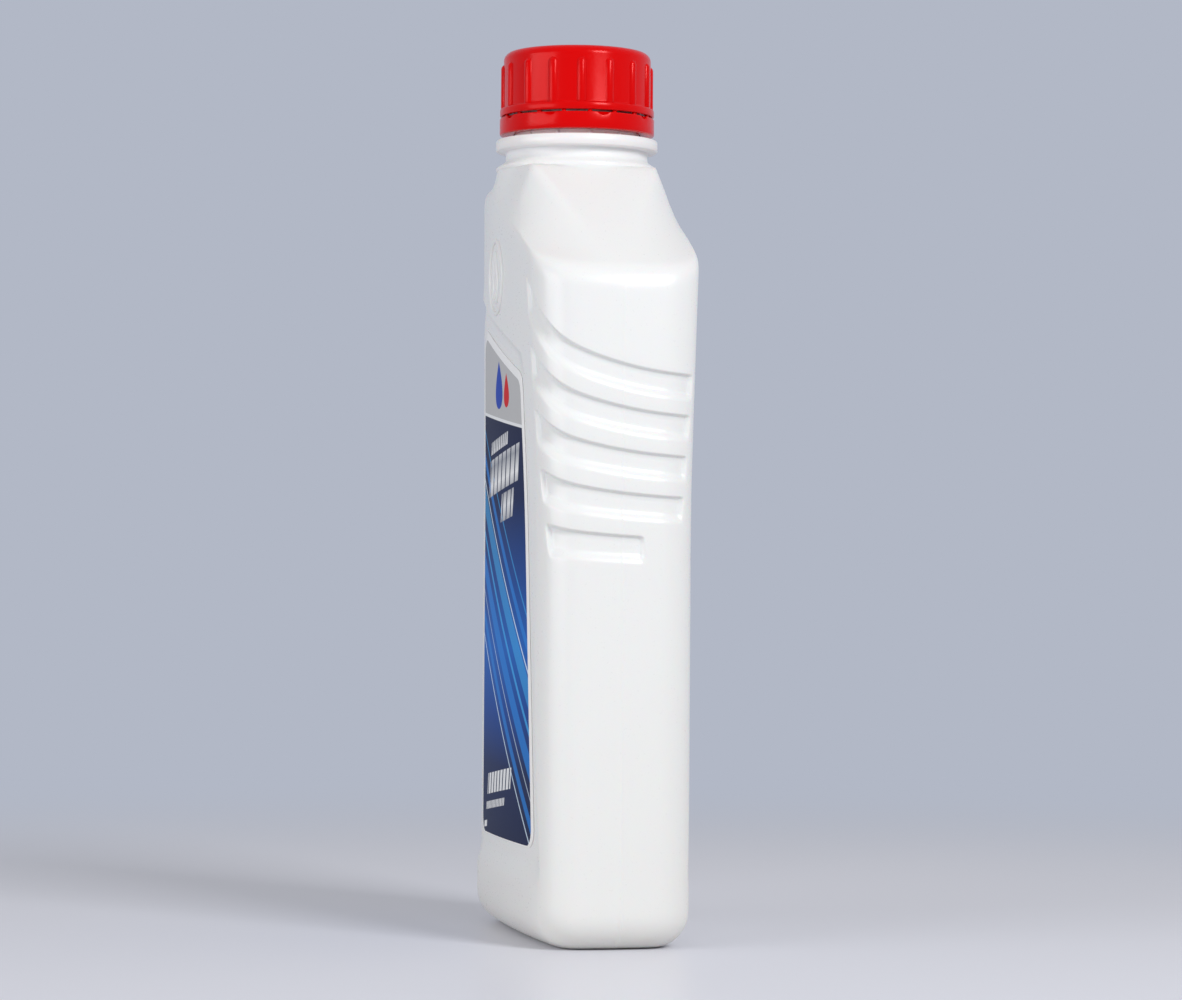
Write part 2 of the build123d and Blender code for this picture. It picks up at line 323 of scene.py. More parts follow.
# The net's uprights bunch up at the seam, the recesses' ends and the panels' sides, and its rows at
# the recesses' lips and ramps.
mark_heights, mark_samples = np.arange(0.0, 226.0, 3.0), 1500
grip_marks_within, panel_marks_within = (100.0, 186.0), (panel_low, 168.0)
before_end, after_end, outside_panel, inside_panel = 3.0, 1.5, 1.0, 2.2
last_end_marks = {"front": (), "back": (4.5, 8.5)}
upright_counts = {"front": (3, 17, 9, 6, 7, 14, 7, 17), "back": (3, 4, 9, 10, 9, 6, 7, 14, 7, 17)}
base_radius, below_ramp, above_lip, above_grips = 10.0, 0.3, 0.15, 2.5
rib_step, ramp_step, floor_step, lip_step, above_step, top_step = 1.5, 0.42, 1.2, 0.25, 1.0, 3.0


def breaks(z):
    """Shares of half the bottle of the recesses' front and back ends and the panel's sides, at heights z."""
    found = {"front": [], "back": [], "panel_near": [], "panel_far": []}
    shares = np.linspace(0, 1, mark_samples)
    for height in mark_heights:
        x, y, _ = plan(shares, np.full_like(shares, height))
        for side, hand in hands.items():
            end_x = grip_end_x(hand * y, np.clip(height, *grip_marks_within))
            found[side].append(np.interp(0, end_x - x, shares))
        near = panel_near(np.clip(height, *panel_marks_within))
        found["panel_near"].append(np.interp(-near, -x, shares))
        found["panel_far"].append(np.interp(-panel_far, -x, shares))
    return {name: np.interp(z, mark_heights, values) for name, values in found.items()}


def spread(counts):
    """Evenly spaced places between stops, as arrays of stop index and share of the way to the next."""
    index = np.concatenate([np.full(count, i) for i, count in enumerate(counts)])
    share = np.concatenate([np.arange(count) / count for count in counts])
    return np.append(index, len(counts) - 1), np.append(share, 1.0)


def rows_between(stops):
    """Heights from pairs of a height and the step used up to it."""
    heights = [stops[0][0]]
    for (low, _), (high, step) in zip(stops, stops[1:]):
        heights.extend(np.linspace(low, high, max(1, round((high - low) / step)) + 1)[1:])
    return np.array(heights)


row_stops = [(base_radius, 0), (16.0, 2.5), (27.0, 1.0), (33.0, 1.5), (grip_level, 4.5)]
for index in reversed(range(grip_count)):
    top = grip_top - index * grip_pitch
    low = top - grip_height
    row_stops += [(low - below_ramp, rib_step), (low + grip_ramp, ramp_step),
                  (top - grip_lip, floor_step), (top + above_lip, lip_step)]
row_stops += [(grip_top + above_grips, above_step), (flare_end, top_step)]
rows = rows_between(row_stops)[:, None]


def bottle_side(side):
    """Shares, heights and recess depths of the net over the front or back half, below the shoulder."""
    hand = hands[side]
    index, share_in = spread(upright_counts[side])
    columns = np.arange(len(index))
    panel_top_row = grip_top - (grip_pitch if side == "front" else 0.0)

    def uprights(z):
        """Shares of the uprights at heights z, and of the recesses' end and the panel's near side."""
        marks = breaks(z)
        end, near, far = marks[side], marks["panel_near"], marks["panel_far"]
        line = [distance * mm_share + 0 * z for distance in (0, 2 * seam_width, *last_end_marks[side])]
        line += [end - before_end * mm_share, end + after_end * mm_share]
        line += [near - outside_panel * mm_share, near + inside_panel * mm_share]
        line += [far - inside_panel * mm_share, far + outside_panel * mm_share, 1 + 0 * z]
        line = np.stack(line)
        start, stop = line[index, :, columns].T, line[index + 1, :, columns].T
        return start + share_in * (stop - start), end, near

    z = np.broadcast_to(rows, (len(rows), len(index))).copy()
    for _ in range(5):
        share, end, near = uprights(z)
        x, y, _ = plan(share, z)
        last = shoulder_height(x, y) - edge_reach(x)
        swept = grip_line(np.minimum(rows, grip_top), x, hand * y)
        above = np.clip((rows - grip_top) / (flare_end - grip_top), 0, 1)
        on_side = swept + above * (last - swept)
        climb = np.clip((rows - grip_level) / (panel_top_row - grip_level), 0, 1)
        on_face = np.minimum(rows, grip_level) + climb * (panel_top(x) - grip_level)
        above = np.clip((rows - panel_top_row) / (flare_end - panel_top_row), 0, 1)
        on_face = on_face + above * (last - on_face)
        blend = smooth_step((share - end - mm_share) / (near - end - 2 * mm_share))
        z = on_side + blend * (on_face - on_side)
    share, end, near = uprights(z)
    x, y, _ = plan(share, z)
    depth = recess_depth * np.maximum(panel_mask(x, z), grip_mask(rows, hand * y, share, end))
    depth -= seam_height * np.exp(-((share * half_length / seam_width) ** 2))
    return share, z, depth


# The base rests on a flat foot round a push-up. Its profile is a scale of the foot's inner edge and a
# share of the height. The root's angles about the neck belong to the bends of the plan.
foot_width, foot_half_width, foot_half_depth, push_up_height = 4.0, 44.0, 14.5, 2.5
push_up_profile = ((0.15, 1), (0.5, 1), (0.9, 1), (0.94, 0.9), (0.97, 0.45), (0.99, 0.08))
root_angles, rounding_share_most = np.radians([0, -32, -45, -90, -126, -140, -180]), 0.7
base_steps, rounding_steps, slope_steps, slope_probe = 8, 8, 18, 0.05


def rings_of(side):
    """Rings of the front or back half from the foot to the neck's root, with their recess depths.

    The outward directions and the uprights' angles about the neck come with them.
    """
    share, z, depth = bottle_side(side)
    x, y, normal = plan(share, z)
    body = np.stack([x, y, z], -1)
    outward = np.stack([np.cos(normal), np.sin(normal), 0 * z], -1)

    base = []
    for step in np.linspace(0, 1, base_steps + 1)[:-1]:
        inset = base_radius * (1 - math.sin(step * math.pi / 2))
        height = base_radius * (1 - math.cos(step * math.pi / 2))
        bx, by, bn = plan(share[0], np.full_like(share[0], height))
        base.append(np.stack([bx - inset * np.cos(bn), by - inset * np.sin(bn), 0 * bx + height], -1))
    inner = base[0] * [1 - foot_width / foot_half_width, 1 - foot_width / foot_half_depth, 1]
    push_up = [inner * [scale, 0.25 + 0.75 * scale, 1] + [0, 0, push_up_height * height]
               for scale, height in push_up_profile]
    base = np.array(push_up + [inner] + base)

    bx, by, _ = plan(share[-1], shoulder_height(x[-1], -half_depth))
    beside_neck = np.interp(-neck_x, -flared_plan["x"], flared_plan["share"])
    bends = [0, *flared_plan["bends"][:2], beside_neck, *flared_plan["bends"][2:], 1]
    angle = np.interp(share[-1], bends, root_angles)
    root_x, root_y = neck_x + root_radius * np.cos(angle), root_radius * np.sin(angle)

    def slope_point(t):
        """Points a share of the way from the shoulder's edge to the neck's root."""
        px, py = bx + t * (root_x - bx), by + t * (root_y - by)
        edge, end = shoulder_height(bx, by), shoulder_height(root_x, root_y)
        curved = shoulder_height(px, py) + t * (root_height - end)
        return np.stack([px, py, np.where(bx > neck_x, curved, edge + t * (root_height - edge))], -1)

    corner = slope_point(0.0)
    length = np.linalg.norm(slope_point(slope_probe) - corner, axis=-1) / slope_probe
    from_edge = np.minimum(edge_reach(bx) / length, rounding_share_most)
    finish = slope_point(from_edge)
    rounding = [(1 - t) ** 2 * body[-1] + 2 * t * (1 - t) * corner + t ** 2 * finish
                for t in np.linspace(0, 1, rounding_steps + 1)[1:]]
    shoulder = [slope_point(from_edge + t * (1 - from_edge)) for t in np.linspace(0, 1, slope_steps + 1)[1:]]
    rings = np.concatenate([base, body, rounding, shoulder])
    depths = np.zeros(rings.shape[:2])
    depths[:len(base)] = -base_seam_height * np.exp(-((share[0] * half_length / seam_width) ** 2))
    depths[len(base):len(base) + len(rows)] = depth
    directions = np.zeros_like(rings)
    directions[:len(base)] = outward[0]
    directions[len(base):len(base) + len(rows)] = outward
    mirror = np.array([1, hands[side], 1])
    return rings * mirror, depths, directions * mirror, (angle * hands[side])[None]


front, back = rings_of("front"), rings_of("back")


def whole(front_part, back_part):
    """Both halves as closed rings: the front from the near side round, then the back the other way."""
    return np.concatenate([front_part[:, :-1], back_part[:, :0:-1]], 1)


smooth_rings, depths, directions, angles = (whole(a, b) for a, b in zip(front, back))
around = angles[0]
lip_start, lip_run = math.radians(45), math.radians(35)


def neck_ring(radius, height, lip=0.0):
    """A ring of the neck, on the same uprights as the skin; a lip widens it except on the near side."""
    radius = radius + lip * smooth_step((np.abs(around) - lip_start) / lip_run)
    x, y = neck_x + radius * np.cos(around), radius * np.sin(around)
    return np.stack([x, y, np.full_like(around, height)], -1)


# radius, height and lip of each ring, from the root up the outside and down the inside
neck_profile = [(23.2, 221.15, 0.25), (23.2, 221.5, 0.4), (23.1, 222.0, 0.35), (22.8, 222.35, 0.2),
                (22.3, 222.7, 0.1), (21.2, 223.5), (20.85, 223.85), (20.7, 224.3), (20.7, 226.5),
                (20.85, 226.75), (23.3, 226.85), (23.6, 227.15), (23.6, 229.8), (23.3, 230.1), (18.5, 230.1),
                (18.2, 230.35), (18.2, 233.5), (18.4, 233.65), (19.4, 233.75), (19.6, 233.95), (19.5, 234.15),
                (18.3, 235.0), (18.2, 235.3), (18.2, 252.2), (17.9, 252.6), (17.5, 252.7), (16.9, 252.7),
                (16.5, 252.5), (16.4, 252.1), (16.4, 229.9), (16.6, 229.5), (19.0, 227.1), (19.1, 226.8),
                (19.1, 224.2), (22.3, 221.3)]
neck = np.array([neck_ring(*point) for point in neck_profile])

along = np.gradient(smooth_rings, axis=0)
across = np.roll(smooth_rings, -1, 1) - np.roll(smooth_rings, 1, 1)
normals = np.cross(along, across)
normals /= np.maximum(np.linalg.norm(normals, axis=-1), 1e-9)[..., None]
outward_sign = np.sign((normals * (smooth_rings - smooth_rings.mean((0, 1)))).sum((0, 1, 2)))
recessed = depths[..., None] * directions
outer = smooth_rings - recessed
# the inside is out of sight but for the open neck, so it takes every second ring of the outside
inner = (smooth_rings - outward_sign * wall * normals - recessed)[::-2]


def face_y(x, z):
    """The front skin's place across the bottle, seen from the front."""
    flare = flare_angle * flare_share(z)
    centre_y = face_radius - half_depth
    face_x = -half_width + half_width * np.cos(flare) + centre_y * np.sin(flare)
    bulge = np.sqrt(face_radius ** 2 - (x - face_x) ** 2)
    return centre_y * np.cos(flare) - half_width * np.sin(flare) - bulge


def skin_mesh(rings, closed_ends=True):
    """A mesh over rings of points in millimetres, its first and last rings drawn to a point."""
    count = rings.shape[1]
    place = np.arange(count)
    after = (place + 1) % count
    start = np.arange(len(rings) - 1)[:, None] * count
    faces = np.stack([start + place, start + after, start + count + after, start + count + place], -1)
    faces = faces.reshape(-1, 4).tolist()
    points = rings.reshape(-1, 3)
    if closed_ends:
        end = (len(rings) - 1) * count
        faces += np.stack([np.full(count, len(points)), after, place], -1).tolist()
        faces += np.stack([np.full(count, len(points) + 1), end + place, end + after], -1).tolist()
        points = np.concatenate([points, [rings[0].mean(0), rings[-1].mean(0)]])
    mesh = bpy.data.meshes.new("skin")
    mesh.from_pydata((points * mm).tolist(), [], faces)
    return mesh


emblem_x, emblem_z, emblem_bead = -6.0, 189.5, 0.7


def emblem_mesh(width, height, point):
    """An oval or, with a point above zero, a drop standing out from the upper front as a thin bead."""
    turn = np.linspace(0, 2 * math.pi, 96, endpoint=False)
    x = emblem_x + width / 2 * np.sin(turn) * np.abs(np.sin(turn / 2)) ** point
    z = emblem_z + height / 2 * np.cos(turn)
    y = face_y(x, z)
    points = np.stack([x, y, z], -1)
    along = np.roll(points, -1, 0) - np.roll(points, 1, 0)
    along /= np.linalg.norm(along, axis=-1)[:, None]
    out = np.array([0.0, -1.0, 0.0])
    side = np.cross(along, out)
    around_bead = np.linspace(0, 2 * math.pi, 12, endpoint=False)
    rings = [points + emblem_bead * (math.cos(a) * side + math.sin(a) * out) for a in around_bead]
    return skin_mesh(np.stack(rings + rings[:1], 0), closed_ends=False)


def new_group(name, kind, inputs, outputs):
    """A node group with named sockets, and the sockets of what it is given."""
    tree = bpy.data.node_groups.new(name, kind)
    for direction, sockets in (("INPUT", inputs), ("OUTPUT", outputs)):
        for socket, value in sockets:
            tree.interface.new_socket(socket, in_out=direction, socket_type="NodeSocket" + value)
    return tree, tree.nodes.new("NodeGroupInput").outputs


def ring_tree():
    """Geometry nodes that turn a shape into a ring of copies around the neck axis."""
    tree, given = new_group("ring_of_copies", "GeometryNodeTree",
                            (("Geometry", "Geometry"), ("Count", "Int"), ("Start Angle", "Float"),
                             ("Axis X", "Float"), ("Finish", "Material")), (("Geometry", "Geometry"),))

    def step(kind, **inputs):
        """The result of a geometry node whose inputs are linked."""
        node = tree.nodes.new("GeometryNode" + kind)
        for name, value in inputs.items():
            tree.links.new(value, node.inputs[name])
        return node.outputs[0]

    axis = add_node(tree, "CombineXYZ", {"X": given["Axis X"]}).outputs[0]
    spots = step("Points", Count=given["Count"], Position=axis)
    apart = add_node(tree, "Math", {0: 2 * math.pi, 1: given["Count"]}, operation="DIVIDE").outputs[0]
    turn = add_node(tree, "Math", {0: step("InputIndex"), 1: apart, 2: given["Start Angle"]},
                    operation="MULTIPLY_ADD").outputs[0]
    angles = add_node(tree, "CombineXYZ", {"Z": turn}).outputs[0]
    copies = step("InstanceOnPoints", Points=spots, Instance=given["Geometry"], Rotation=angles)
    real = step("RealizeInstances", Geometry=copies)
    finished = step("SetMaterial", Geometry=real, Material=given["Finish"])
    tree.links.new(finished, tree.nodes.new("NodeGroupOutput").inputs[0])
    return tree


copies_tree = ring_tree()


def ring_of_copies(mesh, count, start_degrees, finish):
    """The mesh of evenly spaced copies around the neck axis of a shape made about the origin's axis."""
    carrier = bpy.data.objects.new("carrier", mesh)
    scene.collection.objects.link(carrier)
    modifier = carrier.modifiers.new("copies", "NODES")
    modifier.node_group = copies_tree
    items = copies_tree.interface.items_tree
    sockets = {item.name: item.identifier for item in items if item.in_out == "INPUT"}
    values = {"Count": count, "Start Angle": math.radians(start_degrees), "Axis X": neck_x * mm,
              "Finish": finish}
    for name, value in values.items():
        modifier[sockets[name]] = value
    evaluated = carrier.evaluated_get(bpy.context.evaluated_depsgraph_get())
    made = bpy.data.meshes.new_from_object(evaluated)
    bpy.data.objects.remove(carrier)
    return made


def add_piece(name, meshes, finish, body, node):
    """One piece of the object from its meshes: smooth, facing outwards, riding on its body for its node."""
    work = bmesh.new()
    for mesh in meshes:
        part = bmesh.new()
        part.from_mesh(mesh)
        if part.calc_volume(signed=True) < 0:
            bmesh.ops.reverse_faces(part, faces=part.faces)
        part.to_mesh(mesh)
        part.free()
        work.from_mesh(mesh)
        bpy.data.meshes.remove(mesh)
    whole_mesh = bpy.data.meshes.new(name)
    work.to_mesh(whole_mesh)
    work.free()
    whole_mesh.shade_smooth()
    whole_mesh.materials.clear()
    whole_mesh.materials.append(finish)
    made = bpy.data.objects.new(name, whole_mesh)
    scene.collection.objects.link(made)
    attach(made, body)
    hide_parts(node)
    return made


def thread(wall_radius, crest_radius, start_height, turns, pitch, root_half, crest_half, start_degrees):
    """A right-hand thread as rings of its section, its ends running out into the wall."""
    steps_a_turn, fades_a_turn, bite = 72, 6, 0.3
    share = np.linspace(0, 1, int(turns * steps_a_turn) + 1)
    turn = math.radians(start_degrees) + share * turns * 2 * math.pi
    rise = start_height + share * turns * pitch
    fade = smooth_step(np.minimum(share, 1 - share) * turns * fades_a_turn)
    root = wall_radius + 0 * share
    crest = wall_radius + (crest_radius - wall_radius) * fade
    buried = wall_radius - bite * np.sign(crest_radius - wall_radius) + 0 * share
    section = ((buried, -root_half), (root, -root_half), (crest, -crest_half),
               (crest, crest_half), (root, root_half), (buried, root_half))
    rings = [np.stack([neck_x + r * np.cos(turn), r * np.sin(turn), rise + lift], -1) for r, lift in section]
    return skin_mesh(np.stack(rings, 1))


def capsule(radius, x, low, high, around=16, upward=12, tip=0.12):
    """An upright bar with round ends, made beside the origin's axis."""
    rings = []
    angles = np.linspace(0, 2 * math.pi, around, endpoint=False)
    for rise in np.linspace(-math.pi / 2 + tip, math.pi / 2 - tip, upward):
        height = (low + radius if rise < 0 else high - radius) + radius * math.sin(rise)
        reach = radius * math.cos(rise)
        ring_x, ring_y = x + reach * np.cos(angles), reach * np.sin(angles)
        rings.append(np.stack([ring_x, ring_y, np.full_like(angles, height)], -1))
    return skin_mesh(np.array(rings))


def moulded_grain_tree():
    """A shader node group for the fine grain of a mould: a roughness and a height from a place."""
    tree, given = new_group("moulded_grain", "ShaderNodeTree",
                            (("Place", "Vector"), ("Scale", "Float"), ("Least Roughness", "Float"),
                             ("Most Roughness", "Float")), (("Roughness", "Float"), ("Height", "Float")))
    fine = add_node(tree, "TexNoise", {"Vector": given["Place"], "Scale": given["Scale"], "Detail": 3.0})
    gloss = add_node(tree, "MapRange", {
        "Value": fine.outputs["Fac"], "From Min": 0.3, "From Max": 0.7,
        "To Min": given["Least Roughness"], "To Max": given["Most Roughness"]})
    result = tree.nodes.new("NodeGroupOutput").inputs
    tree.links.new(gloss.outputs["Result"], result["Roughness"])
    tree.links.new(fine.outputs["Fac"], result["Height"])
    return tree


moulded_grain = moulded_grain_tree()

# a fine grain in the gloss and a slow unevenness of the wall, drawn out upright
white, tree, shader = add_material("white polyethylene", (0.855, 0.84, 0.84), 0.30, IOR=1.5,
                                   Subsurface_Weight=0.12, Subsurface_Scale=0.004)
place = add_node(tree, "TexCoord").outputs["Object"]
grain = add_node(tree, "Group", {"Place": place, "Scale": 1500.0, "Least Roughness": 0.27,
                                 "Most Roughness": 0.36}, node_tree=moulded_grain)
tree.links.new(grain.outputs["Roughness"], shader.inputs["Roughness"])
drawn_out = add_node(tree, "Mapping", {"Vector": place, "Scale": (140.0, 140.0, 16.0)})
flow = add_node(tree, "TexNoise", {"Vector": drawn_out.outputs[0], "Scale": 1.0, "Detail": 2.0})
relief = add_node(tree, "Bump", {"Height": flow.outputs["Fac"], "Strength": 0.35, "Distance": 0.00025})
tree.links.new(relief.outputs["Normal"], shader.inputs["Normal"])

lug = capsule(radius=0.6, x=18.2, low=229.6, high=231.6)
lugs = ring_of_copies(lug, count=12, start_degrees=0.0, finish=white)
neck_thread = thread(wall_radius=18.2, crest_radius=19.5, start_height=238.6, turns=2.0, pitch=4.0,
                     root_half=0.95, crest_half=0.4, start_degrees=20.0)
emblem = [emblem_mesh(width=21.0, height=21.0, point=0.0), emblem_mesh(width=9.0, height=14.0, point=1.2)]
add_piece("bottle_shell", [skin_mesh(np.concatenate([outer, neck, inner])), lugs, neck_thread, *emblem],
          white, "bottle_body", "bottle")


# The front label: a white plastic film, 0.2 mm thick, stuck to the floor of the front panel. Its
# print is plain fields, slanted bands, rows of strokes and two drops inside a white border.
film_margin, film_far, film_rounding, film_side_height = 6.8, -36.2, 5.0, 144.9
film_thickness, film_lift, film_edge_rounding, film_edge_fall, film_points = 0.2, 0.06, 0.05, 0.04, 200
film_borders = {"near": 2.6, "top": 2.6, "far": 0.8, "low": 0.4}


def film_outline(insets, samples=20):
    """The film's outline seen from the front, drawn in by an inset on each side, as x and z."""
    lean = math.atan2(panel_near_low - panel_near_high, film_side_height)
    tilt = math.atan(panel_slope)
    sides = [(math.cos(lean), math.sin(lean), panel_near_low, panel_low),
             (math.sin(tilt), math.cos(tilt), neck_x, panel_top_at_neck),
             (-1.0, 0.0, film_far - film_margin, 0.0), (0.0, -1.0, 0.0, panel_low)]
    rounding = film_rounding - min(insets)
    reach = [nx * x + nz * z - film_margin - inset - rounding for (nx, nz, x, z), inset in zip(sides, insets)]
    outline = []
    for index in range(4):
        after = (index + 1) % 4
        corner = np.linalg.solve([sides[index][:2], sides[after][:2]], [reach[index], reach[after]])
        start, stop = (math.atan2(sides[i][1], sides[i][0]) for i in (index, after))
        turns = np.linspace(start, stop + 2 * math.pi * (stop < start), samples)
        outline.append(corner + rounding * np.stack([np.cos(turns), np.sin(turns)], -1))
    outline = np.concatenate(outline + outline[:1])
    length = np.concatenate([[0], np.cumsum(np.hypot(*np.diff(outline, axis=0).T))])
    whole_length = length[len(outline) - samples]
    spots = np.linspace(0, whole_length, film_points, endpoint=False)
    return np.stack([np.interp(spots, length, outline[:, i]) for i in (0, 1)], -1)


def film_ring(outline, out):
    """A ring of points over the panel's floor, standing out from it."""
    x, z = outline[:, 0], outline[:, 1]
    return np.stack([x, face_y(x, z) + recess_depth - out, z], -1)


edge, border = film_outline([0.0] * 4), film_outline(list(film_borders.values()))
rounded_edge = film_outline([film_edge_rounding] * 4)
middle = border.mean(0)
shares = (0.995, 0.9, 0.78, 0.64, 0.5, 0.36, 0.22, 0.1, 0.03)
front_out, back_out = film_lift + film_thickness, film_lift
film_rings = [film_ring(middle + share * (edge - middle), back_out) for share in reversed(shares)]
film_rings += [film_ring(edge, back_out), film_ring(edge, front_out - film_edge_fall),
               film_ring(rounded_edge, front_out)]
film_rings += [film_ring(middle + share * (border - middle), front_out) for share in (1.0,) + shares]


def mask_group(name, inputs, build):
    """A shader node group from the place on the label, in millimetres, to a mask."""
    tree, given = new_group(name, "ShaderNodeTree", [(socket, "Float") for socket in inputs],
                            (("Mask", "Float"),))

    def calc(operation, *values, clamp=False):
        inputs = dict(enumerate(values))
        return add_node(tree, "Math", inputs, operation=operation, use_clamp=clamp).outputs[0]

    tree.links.new(build(given, calc), tree.nodes.new("NodeGroupOutput").inputs[0])
    return tree


ink_sharpness, no_strokes, stroke_offset, drop_taper, drop_belly = 8.0, 1000.0, 500.0, 1.1, 1.3


def bar_mask(given, calc):
    """A slanted bar, broken into slanted strokes where its pitch is less than its width."""
    rise = calc("SUBTRACT", given["Z"], given["Centre Z"])
    shift = calc("SUBTRACT", given["X"], given["Centre X"])
    shift = calc("SUBTRACT", shift, calc("MULTIPLY", rise, given["Slant"]))
    wide = calc("MULTIPLY_ADD", given["Width"], -0.5, calc("ABSOLUTE", shift))
    tall = calc("MULTIPLY_ADD", given["Height"], -0.5, calc("ABSOLUTE", rise))
    inside = calc("MULTIPLY_ADD", calc("MAXIMUM", wide, tall), -ink_sharpness, 0.5, clamp=True)
    along = calc("DIVIDE", calc("ADD", shift, stroke_offset), given["Pitch"])
    stroke = calc("SUBTRACT", calc("MULTIPLY", calc("FRACT", along), given["Pitch"]), given["Gap"])
    return calc("MULTIPLY", inside, calc("MULTIPLY", stroke, ink_sharpness, clamp=True))


def drop_mask(given, calc):
    """A drop, pointed above and round below."""
    rise = calc("DIVIDE", calc("SUBTRACT", given["Z"], given["Centre Z"]), given["Height"])
    rise = calc("ADD", rise, 0.5, clamp=True)
    shift = calc("ABSOLUTE", calc("SUBTRACT", given["X"], given["Centre X"]))
    taper = calc("POWER", calc("SUBTRACT", 1.0, rise), drop_taper)
    belly = calc("MULTIPLY", calc("SQRT", rise), taper)
    reach = calc("MULTIPLY", calc("MULTIPLY", belly, given["Width"]), drop_belly)
    return calc("MULTIPLY_ADD", calc("SUBTRACT", reach, shift), ink_sharpness, 0.0, clamp=True)


drop_sockets = ("X", "Z", "Centre X", "Centre Z", "Width", "Height")
bar_group = mask_group("bar", (*drop_sockets, "Slant", "Pitch", "Gap"), bar_mask)
drop_group = mask_group("drop", drop_sockets, drop_mask)

print_finish, print_tree, shader = add_material("printed film", (0.02, 0.08, 0.35), 0.4,
                                                Specular_IOR_Level=0.03)
place = add_node(print_tree, "TexCoord").outputs["Object"]
in_mm = add_node(print_tree, "VectorMath", {0: place, 3: 1 / mm}, operation="SCALE")
label_x, _, label_z = add_node(print_tree, "SeparateXYZ", {0: in_mm.outputs[0]}).outputs


def sloped_height(slope):
    """The height on the label, measured along lines that fall by a slope across it."""
    values = {0: label_x, 1: slope, 2: label_z}
    return add_node(print_tree, "Math", values, operation="MULTIPLY_ADD").outputs[0]


def color_ramp(height, low, high, stops):
    """The colour at a height between two others, from shares of the way up and their colours."""
    factor = add_node(print_tree, "MapRange", {"Value": height, "From Min": low, "From Max": high}).outputs[0]
    ramp = add_node(print_tree, "ValToRGB", {"Fac": factor})
    elements = ramp.color_ramp.elements
    for position, _ in stops[1:-1]:
        elements.new(position)
    for element, (position, color) in zip(elements, stops):
        element.position, element.color = position, (*color, 1)
    return ramp.outputs["Color"]


def paint(below, color, mask, strength=1.0):
    """A colour laid over another where a mask is set."""
    amount = add_node(print_tree, "Math", {0: mask, 1: strength}, operation="MULTIPLY").outputs[0]
    above = color if isinstance(color, bpy.types.NodeSocket) else (*color, 1)
    mix = add_node(print_tree, "Mix", {"Factor": amount, "A": below, "B": above}, data_type="RGBA")
    return mix.outputs["Result"]


def shape_mask(group, height, **sizes):
    """The mask of a bar or drop, with its sizes in millimetres, at a height."""
    inputs = {"X": label_x, "Z": height}
    if group == bar_group:
        inputs["Pitch"] = no_strokes
    inputs.update({name.replace("_", " "): size for name, size in sizes.items()})
    return add_node(print_tree, "Group", inputs, node_tree=group).outputs[0]


def band_mask(height, centre, thick):
    """The mask of a band right across the label."""
    return shape_mask(bar_group, height, Centre_Z=centre, Width=400.0, Height=thick)


art = color_ramp(label_z, 27.0, 150.0,
                 [(0.0, (0.008, 0.016, 0.06)), (0.17, (0.009, 0.022, 0.09)), (0.30, (0.006, 0.06, 0.30)),
                  (0.45, (0.008, 0.12, 0.50)), (0.62, (0.007, 0.06, 0.28)), (0.80, (0.006, 0.016, 0.075)),
                  (1.0, (0.009, 0.014, 0.05))])

# light bands slanting across the blue field: height at the middle, thickness, colour, strength
slanted = sloped_height(0.85)
light_blue, sky_blue, pale = (0.02, 0.22, 0.70), (0.06, 0.42, 0.90), (0.70, 0.85, 1.0)
bands = ((56.0, 0.9, pale, 0.8), (62.0, 4.0, light_blue, 0.7), (69.0, 0.7, pale, 0.6),
         (77.0, 7.0, light_blue, 0.75), (86.0, 2.0, sky_blue, 0.7), (96.0, 8.0, sky_blue, 0.5),
         (101.5, 0.9, pale, 0.9), (108.0, 3.5, light_blue, 0.7), (116.0, 1.2, sky_blue, 0.5))
for centre, thick, color, strength in bands:
    art = paint(art, color, band_mask(slanted, centre, thick), strength)

# rows of strokes where a pack has its title and its small print, rising a little across the label:
# middle across and up, width, height, pitch and gap of the strokes, colour
rising = sloped_height(-0.1)
white_ink = (0.80, 0.82, 0.85)
silver = color_ramp(rising, 118.0, 145.0,
                    [(0.0, (0.3, 0.31, 0.34)), (0.2, (0.8, 0.82, 0.85)), (0.36, (0.35, 0.36, 0.4)),
                     (0.5, (0.85, 0.86, 0.88)), (0.7, (0.36, 0.38, 0.42)), (0.85, (0.8, 0.81, 0.84)),
                     (1.0, (0.5, 0.52, 0.55))])
bars = ((-9.0, 142.4, 27.0, 3.6, 2.9, 0.8, silver), (-3.5, 133.8, 44.0, 10.5, 6.3, 1.2, silver),
        (2.5, 123.2, 17.0, 8.0, 5.8, 1.2, silver), (-8.0, 44.5, 36.0, 6.0, 4.6, 1.2, white_ink),
        (-14.0, 38.2, 30.0, 2.2, 2.3, 0.7, white_ink), (-30.0, 33.0, 5.0, 1.8, no_strokes, 0.0, white_ink))
for centre_x, centre_z, width, tall, pitch, gap, color in bars:
    bar = shape_mask(bar_group, rising, Centre_X=centre_x, Centre_Z=centre_z, Width=width, Height=tall,
                     Slant=0.25, Pitch=pitch, Gap=gap)
    art = paint(art, color, bar)

# the silver field along the top with a pale line under it, and two plain drops on it, red and blue
sloped = sloped_height(0.1)
silver_field = (0.50, 0.505, 0.52)
drops = (((0.60, 0.01, 0.015), 3.0, 156.5, 8.0, 10.0), ((0.015, 0.06, 0.42), -8.5, 158.5, 12.0, 14.0))
art = paint(art, silver_field, band_mask(sloped, 197.6, 100.0))
art = paint(art, white_ink, band_mask(sloped, 147.6, 0.9))
for color, centre_x, centre_z, width, tall in drops:
    drop = shape_mask(drop_group, label_z, Centre_X=centre_x, Centre_Z=centre_z, Width=width, Height=tall)
    art = paint(art, color, drop)
print_tree.links.new(art, shader.inputs["Base Color"])

